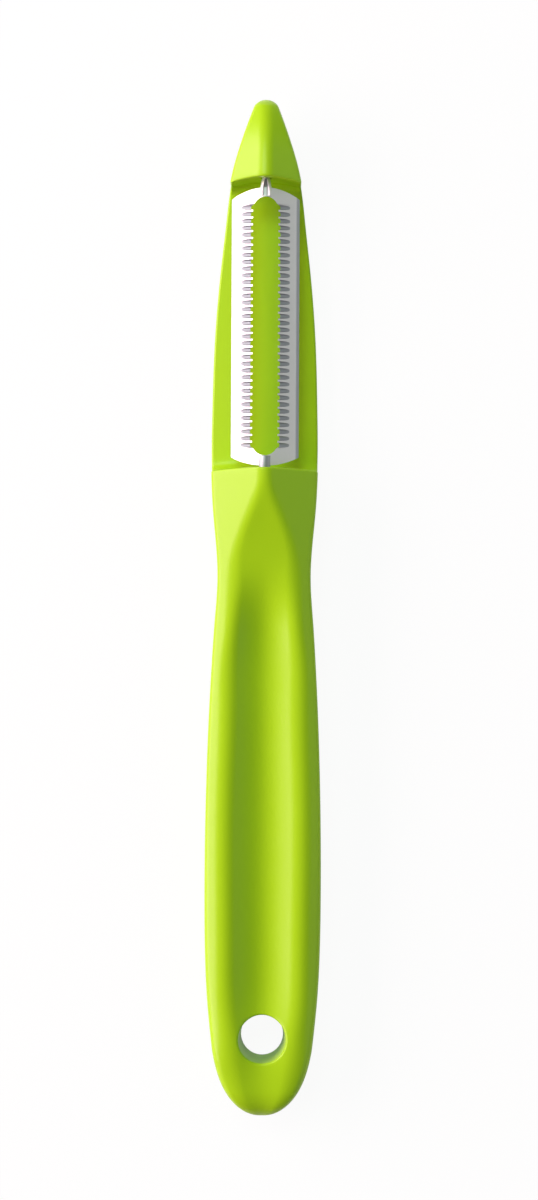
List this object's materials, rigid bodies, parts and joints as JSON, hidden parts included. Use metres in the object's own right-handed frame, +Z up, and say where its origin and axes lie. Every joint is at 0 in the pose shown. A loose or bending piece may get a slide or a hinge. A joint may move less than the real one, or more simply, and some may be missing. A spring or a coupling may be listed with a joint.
{
  "type": "vegetable peeler",
  "caption": "Swivel vegetable peeler: moulded plastic handle with pointed nose, thumb groove and hanging hole, holding a slotted, fluted steel blade that rocks on rolled pins.",
  "frame": {"origin": "middle of the peeler's length and width, on the plane that it lies on with its blade up", "axes": "+Y along the peeler to the tip of the nose, +Z up out of the blade's ridge, +X across to the right"},
  "size_m": [0.0194, 0.1702, 0.0126],
  "materials": {
    "handle_plastic": "lime green moulded plastic, satin gloss",
    "blade_steel": "stainless steel, finely brushed"
  },
  "bodies": {
    "handle": {"handle": "handle_plastic"},
    "blade": {"blade": "blade_steel"}
  },
  "joints": [
    {"name": "blade_swivel", "type": "hinge", "parent": "handle", "child": "blade", "pos_m": [0, 0.04755, 0.00955], "axis": [0, 1, 0], "range_deg": [-40, 40]}
  ]
}
